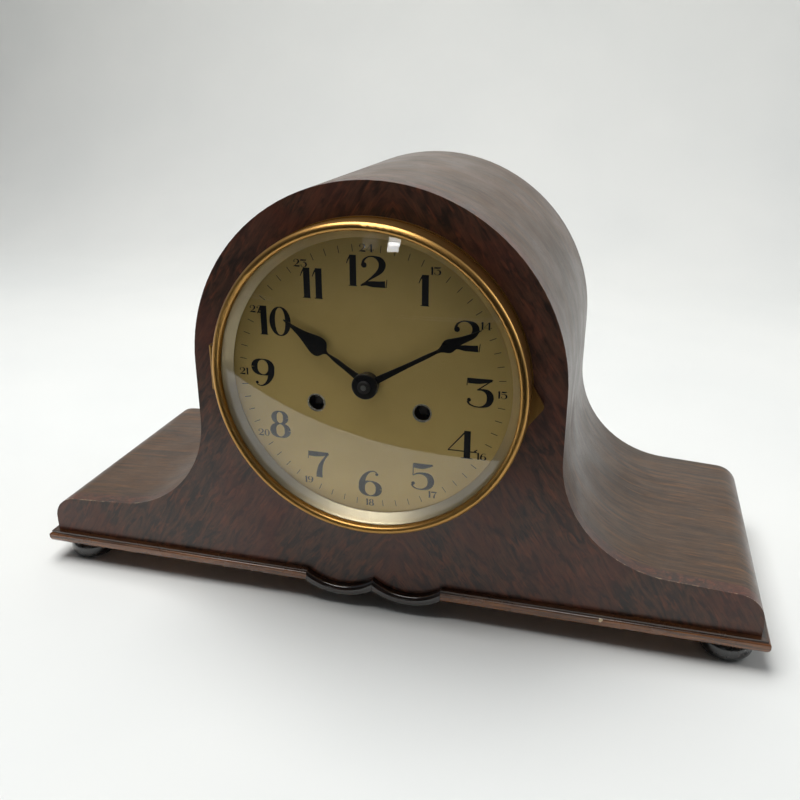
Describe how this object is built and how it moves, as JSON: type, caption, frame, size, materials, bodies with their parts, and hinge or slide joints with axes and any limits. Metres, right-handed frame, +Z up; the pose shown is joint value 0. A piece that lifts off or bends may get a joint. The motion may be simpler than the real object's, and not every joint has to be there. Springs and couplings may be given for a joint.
{
  "type": "mantel clock",
  "caption": "Wooden tambour mantel clock with arched centre, low scrolled wings, round convex glazed dial, striking pendulum movement and a back door.",
  "frame": {"origin": "centre of the footprint's bounding box, at the underside of the feet", "axes": "+X along the case's length to the right as seen from the front, +Y from the dial to the back door, +Z up"},
  "size_m": [0.427, 0.185, 0.243],
  "materials": {
    "veneer": "semi-gloss figured mahogany veneer",
    "dark_wood": "satin stained plywood",
    "plain_wood": "unfinished",
    "moulding": "polished red-brown",
    "bead": "high gloss dark",
    "ebonised": "black lacquer",
    "brass": "satin",
    "bezel_brass": "lacquered, lightly tarnished",
    "dial_metal": "matt silvered, champagne tint",
    "sight_metal": "polished pale gilt",
    "nickel": "nickel plated",
    "glass": "clear convex",
    "steel": "satin",
    "black_steel": "gloss black",
    "iron": "painted"
  },
  "bodies": {
    "case": {"front_panel": "veneer", "case_wrap": "veneer", "back_frame": "dark_wood", "base_board": "plain_wood", "moulding_front": "moulding", "moulding_ends": "moulding", "lobe_beads": "bead", "feet": "ebonised", "glue_blocks": "plain_wood", "door_hinges_fixed": "brass", "base_ring": "bezel_brass", "dial_plate": "dial_metal", "winding_ferrules": "nickel", "dial_feet": "brass", "bezel_hinge_fixed": "bezel_brass", "bezel_hinge_pin": "steel", "movement_straps": "steel", "case_screws": "steel", "front_plate": "brass", "back_plate": "brass", "pillars_and_studs": "steel", "pillar_nuts": "steel", "pendulum_cock": "brass", "gong_block": "iron", "gong_rods": "steel"},
    "bezel": {"bezel_ring": "bezel_brass", "bezel_glass": "glass", "sight_ring": "sight_metal", "bezel_tab": "bezel_brass", "bezel_hinge_moving": "bezel_brass"},
    "door": {"back_door": "dark_wood", "door_hinges_moving": "brass", "door_knob": "brass"},
    "minute": {"centre_arbor": "steel", "cannon_pinion": "brass", "minute_hand": "black_steel", "hand_nut": "nickel"},
    "minute_wheel": {"minute_wheel": "brass"},
    "hour": {"hour_wheel": "brass", "hour_hand": "black_steel"},
    "third": {"third_wheel": "brass"},
    "centre": {"centre_wheel": "brass"},
    "second": {"second_wheel": "brass"},
    "time_barrel": {"time_barrel": "brass"},
    "escape": {"escape_wheel": "brass"},
    "strike_pin": {"strike_pin_wheel": "brass"},
    "strike_second": {"strike_second_wheel": "brass"},
    "strike_barrel": {"strike_barrel": "brass"},
    "fly": {"strike_fly": "brass"},
    "time_arbor": {"time_winding_arbor": "steel"},
    "strike_arbor": {"strike_winding_arbor": "steel"},
    "time_click": {"time_click": "steel"},
    "strike_click": {"strike_click": "steel"},
    "anchor": {"anchor": "steel", "crutch": "brass"},
    "pendulum": {"pendulum_rod": "steel"},
    "bob": {"pendulum_bob": "brass", "rating_nut": "brass"},
    "hammer_1": {"hammer_1": "brass"},
    "hammer_2": {"hammer_2": "brass"}
  },
  "joints": [
    {"name": "bezel_hinge", "type": "hinge", "parent": "case", "child": "bezel", "pos_m": [-0.0883, -0.0755, 0.1415], "axis": [0, 0, -1], "range_deg": [0, 115]},
    {"name": "door_hinge", "type": "hinge", "parent": "case", "child": "door", "pos_m": [0.0746, 0.0855, 0.1415], "axis": [0, 0, -1], "range_deg": [0, 170]},
    {"name": "minute_turn", "type": "hinge", "parent": "case", "child": "minute", "pos_m": [0, -0.0415, 0.1415], "axis": [0, 1, 0], "continuous": true},
    {"name": "minute_wheel_turn", "type": "hinge", "parent": "case", "child": "minute_wheel", "pos_m": [0, -0.0665, 0.1295], "axis": [0, 1, 0], "continuous": true},
    {"name": "hour_turn", "type": "hinge", "parent": "case", "child": "hour", "pos_m": [0, -0.0415, 0.1415], "axis": [0, 1, 0], "continuous": true},
    {"name": "third_turn", "type": "hinge", "parent": "case", "child": "third", "pos_m": [-0.00711, -0.0415, 0.15583], "axis": [0, 1, 0], "continuous": true},
    {"name": "centre_turn", "type": "hinge", "parent": "case", "child": "centre", "pos_m": [0, -0.0415, 0.1415], "axis": [0, 1, 0], "continuous": true},
    {"name": "second_turn", "type": "hinge", "parent": "case", "child": "second", "pos_m": [0.01381, -0.0415, 0.14996], "axis": [0, 1, 0], "continuous": true},
    {"name": "time_barrel_turn", "type": "hinge", "parent": "case", "child": "time_barrel", "pos_m": [0.0288, -0.0415, 0.1275], "axis": [0, 1, 0], "continuous": true},
    {"name": "escape_turn", "type": "hinge", "parent": "case", "child": "escape", "pos_m": [0, -0.0415, 0.1685], "axis": [0, 1, 0], "continuous": true},
    {"name": "strike_pin_turn", "type": "hinge", "parent": "case", "child": "strike_pin", "pos_m": [-0.02677, -0.0415, 0.16916], "axis": [0, 1, 0], "continuous": true},
    {"name": "strike_second_turn", "type": "hinge", "parent": "case", "child": "strike_second", "pos_m": [-0.02411, -0.0415, 0.15409], "axis": [0, 1, 0], "continuous": true},
    {"name": "strike_barrel_turn", "type": "hinge", "parent": "case", "child": "strike_barrel", "pos_m": [-0.0288, -0.0415, 0.1275], "axis": [0, 1, 0], "continuous": true},
    {"name": "fly_turn", "type": "hinge", "parent": "case", "child": "fly", "pos_m": [-0.01994, -0.0415, 0.18098], "axis": [0, 1, 0], "continuous": true},
    {"name": "time_winding", "type": "hinge", "parent": "case", "child": "time_arbor", "pos_m": [0.0288, -0.0415, 0.1275], "axis": [0, 1, 0], "continuous": true},
    {"name": "strike_winding", "type": "hinge", "parent": "case", "child": "strike_arbor", "pos_m": [-0.0288, -0.0415, 0.1275], "axis": [0, 1, 0], "continuous": true},
    {"name": "time_click_lift", "type": "hinge", "parent": "case", "child": "time_click", "pos_m": [0.0394, -0.0605, 0.1367], "axis": [0, 1, 0], "range_deg": [0, 12]},
    {"name": "strike_click_lift", "type": "hinge", "parent": "case", "child": "strike_click", "pos_m": [-0.0394, -0.0605, 0.1367], "axis": [0, -1, 0], "range_deg": [0, 12]},
    {"name": "pendulum_swing", "type": "hinge", "parent": "case", "child": "pendulum", "pos_m": [0, -0.0065, 0.18264], "axis": [0, 1, 0], "range_deg": [-4, 4]},
    {"name": "anchor_rock", "type": "hinge", "parent": "case", "child": "anchor", "pos_m": [0, -0.0315, 0.18264], "axis": [0, 1, 0], "range_deg": [-4, 4]},
    {"name": "bob_adjust", "type": "slide", "parent": "pendulum", "child": "bob", "axis": [0, 0, 1], "range_m": [-0.004, 0.004]},
    {"name": "hammer_1_lift", "type": "hinge", "parent": "case", "child": "hammer_1", "pos_m": [-0.034, 0.0045, 0.1055], "axis": [0, 1, 0], "range_deg": [0, 18]},
    {"name": "hammer_2_lift", "type": "hinge", "parent": "case", "child": "hammer_2", "pos_m": [-0.034, 0.0115, 0.1055], "axis": [0, 1, 0], "range_deg": [0, 18]}
  ],
  "couplings": [
    {"joint": "minute_wheel_turn", "follows": "minute_turn", "ratio": -0.33333},
    {"joint": "hour_turn", "follows": "minute_turn", "ratio": 0.083333},
    {"joint": "centre_turn", "follows": "third_turn", "ratio": -0.11111},
    {"joint": "second_turn", "follows": "third_turn", "ratio": 0.022222},
    {"joint": "time_barrel_turn", "follows": "third_turn", "ratio": -0.0027778},
    {"joint": "escape_turn", "follows": "third_turn", "ratio": -9.375},
    {"joint": "strike_second_turn", "follows": "strike_pin_turn", "ratio": -0.13333},
    {"joint": "strike_barrel_turn", "follows": "strike_pin_turn", "ratio": 0.016667},
    {"joint": "fly_turn", "follows": "strike_pin_turn", "ratio": -8.75},
    {"joint": "anchor_rock", "follows": "pendulum_swing", "ratio": 1}
  ]
}
